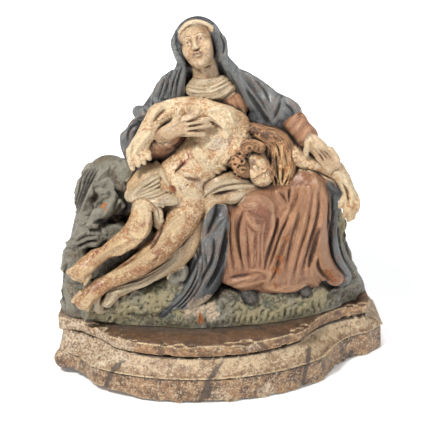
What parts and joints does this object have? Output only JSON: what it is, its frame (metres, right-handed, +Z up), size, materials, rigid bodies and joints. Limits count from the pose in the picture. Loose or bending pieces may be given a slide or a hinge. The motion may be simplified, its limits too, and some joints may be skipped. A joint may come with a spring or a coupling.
{
  "type": "sculptural group",
  "caption": "Painted terracotta pieta group with rocky ground, flat behind, standing on a bow-fronted moulded wooden plinth with a broken end.",
  "frame": {"origin": "middle of the whole outline, on the surface that the plinth stands on", "axes": "+Z up, the front with the figures' knees faces -Y, +X to the viewer's right, the flat back faces +Y"},
  "size_m": [0.3728, 0.1746, 0.4007],
  "materials": {
    "painted_terracotta": "worn paint over gesso on fired clay",
    "painted_wood": "worn marbled paint over gesso on wood"
  },
  "bodies": {
    "root": {"figure_group": "painted_terracotta", "plinth": "painted_wood"}
  },
  "joints": []
}
